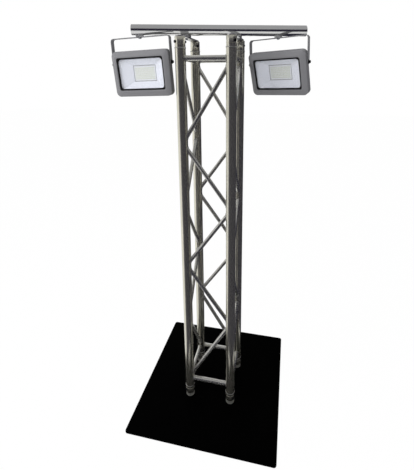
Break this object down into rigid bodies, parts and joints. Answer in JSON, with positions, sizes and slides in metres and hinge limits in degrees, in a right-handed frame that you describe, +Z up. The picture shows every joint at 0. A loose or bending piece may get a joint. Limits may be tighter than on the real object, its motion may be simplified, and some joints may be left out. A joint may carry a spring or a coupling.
{
  "type": "lighting stand",
  "caption": "Upright box-truss stand on a square steel base plate, with a round cross tube on top that carries floodlights hanging in tilting yokes.",
  "frame": {"origin": "middle of the base plate underside", "axes": "+Z up along the truss, +X along the cross tube to the right of a viewer in front, the lamps face -Y"},
  "size_m": [0.9762, 0.8, 2.0927],
  "materials": {
    "base_plate": "black powder coat, satin",
    "truss_aluminium": "satin mill finish",
    "rail_aluminium": "satin",
    "coupler_aluminium": "turned",
    "tube_aluminium": "smooth drawn",
    "zinc_steel": "zinc plated",
    "dark_steel": "blackened",
    "lamp_paint": "die cast, grey powder coat",
    "yoke_paint": "dark grey powder coat",
    "black_rubber": "matt",
    "black_plastic": "matt",
    "clear_glass": "clear, toughened",
    "white_reflector": "white, satin",
    "led_board": "phosphor over light sources"
  },
  "bodies": {
    "stand": {"base_plate": "base_plate", "half_coupler_front_left": "coupler_aluminium", "coupler_screw_front_left": "zinc_steel", "taper_pin_lower_front_left": "dark_steel", "taper_pin_upper_front_left": "dark_steel", "half_coupler_front_right": "coupler_aluminium", "coupler_screw_front_right": "zinc_steel", "taper_pin_lower_front_right": "dark_steel", "taper_pin_upper_front_right": "dark_steel", "half_coupler_back_right": "coupler_aluminium", "coupler_screw_back_right": "zinc_steel", "taper_pin_lower_back_right": "dark_steel", "taper_pin_upper_back_right": "dark_steel", "half_coupler_back_left": "coupler_aluminium", "coupler_screw_back_left": "zinc_steel", "taper_pin_lower_back_left": "dark_steel", "taper_pin_upper_back_left": "dark_steel", "truss_side_front": "truss_aluminium", "end_brace_lower_front": "truss_aluminium", "end_brace_upper_front": "truss_aluminium", "truss_side_left": "truss_aluminium", "end_brace_lower_left": "truss_aluminium", "end_brace_upper_left": "truss_aluminium", "truss_side_back": "truss_aluminium", "end_brace_lower_back": "truss_aluminium", "end_brace_upper_back": "truss_aluminium", "truss_side_right": "truss_aluminium", "end_brace_lower_right": "truss_aluminium", "end_brace_upper_right": "truss_aluminium", "cross_rail_left": "rail_aluminium", "rail_bolt_left": "zinc_steel", "end_plug_left": "black_plastic", "cross_rail_right": "rail_aluminium", "rail_bolt_right": "zinc_steel", "end_plug_right": "black_plastic", "cross_tube": "tube_aluminium", "left_lamp_saddle_pad": "rail_aluminium", "left_lamp_hanging_bolt": "zinc_steel", "right_lamp_saddle_pad": "rail_aluminium", "right_lamp_hanging_bolt": "zinc_steel"},
    "left_yoke": {"left_lamp_yoke": "yoke_paint"},
    "left_lamp": {"left_lamp_housing": "lamp_paint", "left_lamp_bezel": "lamp_paint", "left_lamp_seal_frame": "black_rubber", "left_lamp_glass": "clear_glass", "left_lamp_reflector": "white_reflector", "left_lamp_led_board": "led_board", "left_lamp_cable_gland": "black_plastic", "left_lamp_pivot_screw_left": "dark_steel", "left_lamp_pivot_screw_right": "dark_steel"},
    "right_yoke": {"right_lamp_yoke": "yoke_paint"},
    "right_lamp": {"right_lamp_housing": "lamp_paint", "right_lamp_bezel": "lamp_paint", "right_lamp_seal_frame": "black_rubber", "right_lamp_glass": "clear_glass", "right_lamp_reflector": "white_reflector", "right_lamp_led_board": "led_board", "right_lamp_cable_gland": "black_plastic", "right_lamp_pivot_screw_left": "dark_steel", "right_lamp_pivot_screw_right": "dark_steel"}
  },
  "joints": [
    {"name": "left_lamp_pan", "type": "hinge", "parent": "stand", "child": "left_yoke", "pos_m": [-0.332, -0.0871, 2.03571], "axis": [-0.0371, -0.0097, 0.9993], "range_deg": [-24, 95]},
    {"name": "left_lamp_tilt", "type": "hinge", "parent": "left_yoke", "child": "left_lamp", "pos_m": [-0.32747, -0.08591, 1.91379], "axis": [0.9946, -0.0978, 0.036], "range_deg": [-23, 36]},
    {"name": "right_lamp_pan", "type": "hinge", "parent": "stand", "child": "right_yoke", "pos_m": [0.31462, 0.08254, 2.03571], "axis": [-0.0371, -0.0097, 0.9993], "range_deg": [-56, 34]},
    {"name": "right_lamp_tilt", "type": "hinge", "parent": "right_yoke", "child": "right_lamp", "pos_m": [0.31915, 0.08373, 1.91379], "axis": [0.9094, -0.4148, 0.0297], "range_deg": [-34, 25]}
  ]
}
